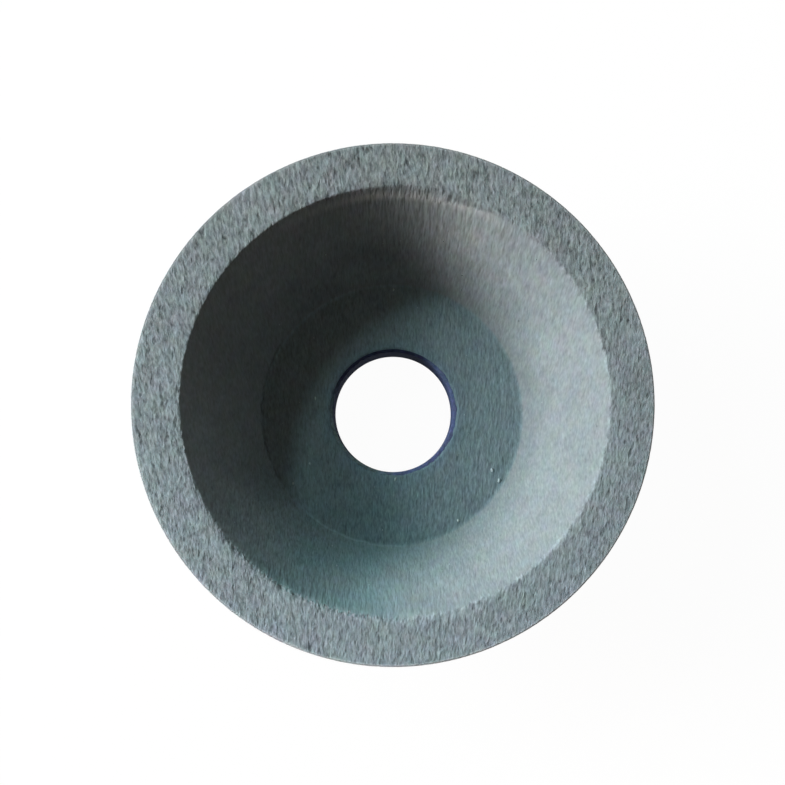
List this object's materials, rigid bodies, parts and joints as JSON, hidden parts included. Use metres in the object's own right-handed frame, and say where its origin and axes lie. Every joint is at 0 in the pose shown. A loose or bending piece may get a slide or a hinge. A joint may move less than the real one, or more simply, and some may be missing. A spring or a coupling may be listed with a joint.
{
  "type": "taper cup grinding wheel",
  "caption": "Flaring cup-shaped abrasive wheel: flat back with a resin-lined arbor hole, thick floor and a tapered wall that opens to a flat annular grinding face.",
  "frame": {"origin": "where the arbor hole's axis meets the flat back face; the wheel stands on that face", "axes": "+Z along the arbor axis, from the back face out of the cup's mouth; X and Y are free, because the wheel is round"},
  "size_m": [0.1246, 0.1246, 0.045],
  "materials": {
    "green_abrasive": "matt open-grained vitrified silicon carbide, grey-green",
    "bush_resin": "dull cast resin, blue-violet"
  },
  "bodies": {
    "root": {"abrasive_cup": "green_abrasive", "arbor_bush": "bush_resin"}
  },
  "joints": []
}
